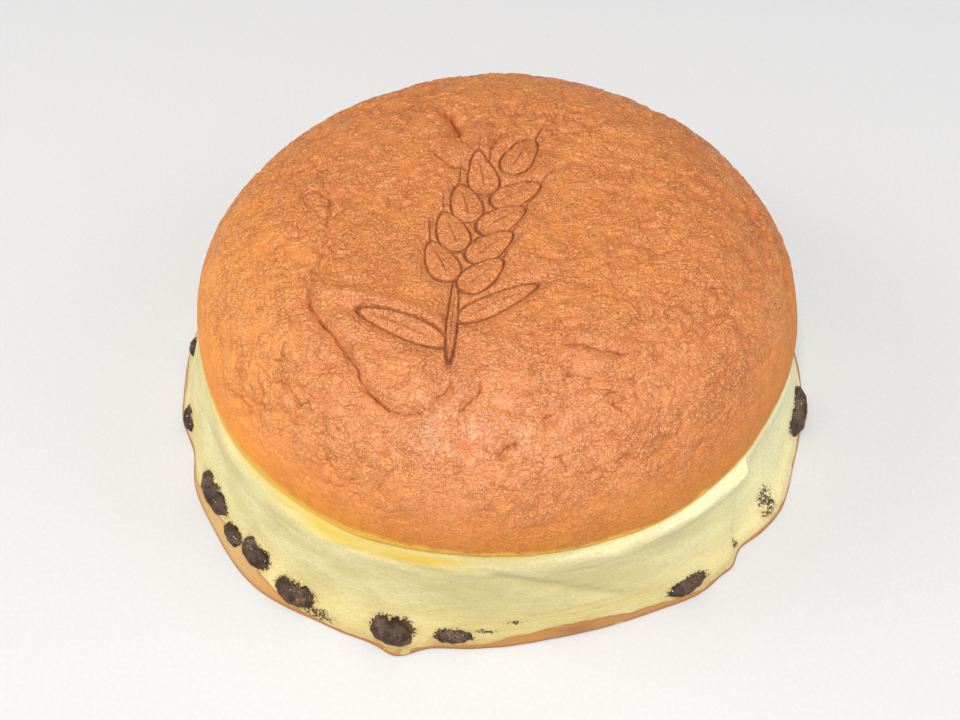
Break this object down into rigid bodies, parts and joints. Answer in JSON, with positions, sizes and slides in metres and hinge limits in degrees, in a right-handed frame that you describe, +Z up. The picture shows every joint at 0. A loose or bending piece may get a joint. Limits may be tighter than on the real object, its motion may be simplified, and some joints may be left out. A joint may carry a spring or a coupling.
{
  "type": "jiggly cheesecake",
  "caption": "Whole round souffle cheesecake with a domed, wrinkled brown crust, pale yellow sides, a thin brown foot and raisins round its foot.",
  "frame": {"origin": "middle of the flat underside, on the surface that the cake stands on", "axes": "+Z up through the crown, -Y the side that is seen first, +X to the right of it"},
  "size_m": [0.1802, 0.1818, 0.0671],
  "materials": {
    "crust": "browned baked skin, matt with a faint sheen, wrinkled",
    "side": "pale yellow set souffle crumb with a thin smooth skin",
    "base_skin": "thin browned skin under the foot, satin",
    "raisin": "dark wrinkled skin with a dusty bloom"
  },
  "bodies": {
    "root": {"cake": "crust", "raisin_01": "raisin", "raisin_02": "raisin", "raisin_03": "raisin", "raisin_04": "raisin", "raisin_05": "raisin", "raisin_06": "raisin", "raisin_07": "raisin", "raisin_08": "raisin", "raisin_09": "raisin", "raisin_10": "raisin", "raisin_11": "raisin", "raisin_12": "raisin", "raisin_13": "raisin", "raisin_14": "raisin", "raisin_15": "raisin", "raisin_16": "raisin", "raisin_17": "raisin", "raisin_18": "raisin"}
  },
  "joints": []
}
